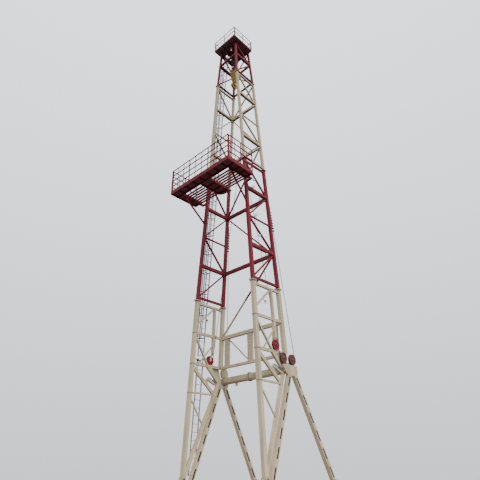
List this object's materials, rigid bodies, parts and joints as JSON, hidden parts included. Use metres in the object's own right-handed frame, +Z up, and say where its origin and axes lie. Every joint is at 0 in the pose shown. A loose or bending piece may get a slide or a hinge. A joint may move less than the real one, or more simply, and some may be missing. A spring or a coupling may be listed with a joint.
{
  "type": "water well drilling rig mast on a skid base",
  "caption": "Tall three-sided lattice drilling mast with racking board, crown platform, raising frame, travelling block and hook, standing on a skid base.",
  "frame": {"origin": "centre of the skid base's underside, on the underside of the cross beam between the mast's legs", "axes": "+Z up, -Y towards the open front with the racking board, X across"},
  "size_m": [5.9353, 8.4672, 34.17],
  "materials": {
    "cream": "weathered off-white paint",
    "red": "dark red paint",
    "rail": "pale grey paint",
    "yellow": "yellow-ochre paint",
    "sheave": "bright red paint",
    "steel": "dark greased steel",
    "rope": "greased wire rope",
    "base": "weathered off-white paint"
  },
  "bodies": {
    "root": {"mast_upper_left": "cream", "mast_upper_right": "cream", "mast_upper_back": "cream", "mast_bottom_left": "cream", "mast_bottom_right": "cream", "mast_bottom_back": "cream", "frame_head_left": "cream", "frame_head_right": "cream", "frame_front_leg_left": "cream", "frame_front_leg_right": "cream", "frame_rear_leg_left": "cream", "frame_rear_leg_right": "cream", "frame_cross_tube": "cream", "guide_forks_left": "cream", "guide_forks_right": "cream", "raising_line_yoke": "cream", "ladder": "cream", "crown_section_left": "red", "crown_section_right": "red", "crown_section_bracing": "red", "crown_beams": "red", "crown_platform": "red", "mast_lower_left": "red", "mast_lower_right": "red", "mast_lower_back": "red", "racking_walkway": "red", "racking_fingers": "red", "racking_tongue": "red", "racking_struts": "red", "racking_rail_front": "red", "racking_rail_left": "red", "racking_rail_right": "red", "crown_rails": "rail", "crown_sheaves": "steel", "reeving_lines": "rope", "raising_line_left": "rope", "raising_line_right": "rope", "skid_left": "base", "skid_right": "base", "skid_cross_beams": "base", "foot_shoes": "base"},
    "travelling_block": {"travelling_block": "yellow"},
    "hook": {"hook": "yellow"},
    "guide_sheave_mast_left": {"guide_sheave_mast_left": "sheave"},
    "guide_sheave_mast_right": {"guide_sheave_mast_right": "sheave"},
    "guide_sheave_front_left": {"guide_sheave_front_left": "sheave"},
    "guide_sheave_front_right": {"guide_sheave_front_right": "sheave"},
    "guide_sheave_rear_left": {"guide_sheave_rear_left": "sheave"},
    "guide_sheave_rear_right": {"guide_sheave_rear_right": "sheave"}
  },
  "joints": [
    {"name": "block_travel", "type": "slide", "parent": "root", "child": "travelling_block", "axis": [0, 0, -1], "range_m": [0, 25], "deforming": ["reeving_lines"]},
    {"name": "hook_swivel", "type": "hinge", "parent": "travelling_block", "child": "hook", "pos_m": [0, 0, 29], "axis": [0, 0, 1], "continuous": true},
    {"name": "guide_mast_left_turn", "type": "hinge", "parent": "root", "child": "guide_sheave_mast_left", "pos_m": [-2.52, 0.15, 7.07], "axis": [1, 0, 0], "continuous": true},
    {"name": "guide_mast_right_turn", "type": "hinge", "parent": "root", "child": "guide_sheave_mast_right", "pos_m": [2.52, 0.15, 7.07], "axis": [1, 0, 0], "continuous": true},
    {"name": "guide_front_left_turn", "type": "hinge", "parent": "root", "child": "guide_sheave_front_left", "pos_m": [-2.59, 0.64, 6.48], "axis": [1, 0, 0], "continuous": true},
    {"name": "guide_front_right_turn", "type": "hinge", "parent": "root", "child": "guide_sheave_front_right", "pos_m": [2.59, 0.64, 6.48], "axis": [1, 0, 0], "continuous": true},
    {"name": "guide_rear_left_turn", "type": "hinge", "parent": "root", "child": "guide_sheave_rear_left", "pos_m": [-2.59, 1.4, 6.48], "axis": [1, 0, 0], "continuous": true},
    {"name": "guide_rear_right_turn", "type": "hinge", "parent": "root", "child": "guide_sheave_rear_right", "pos_m": [2.59, 1.4, 6.48], "axis": [1, 0, 0], "continuous": true}
  ]
}
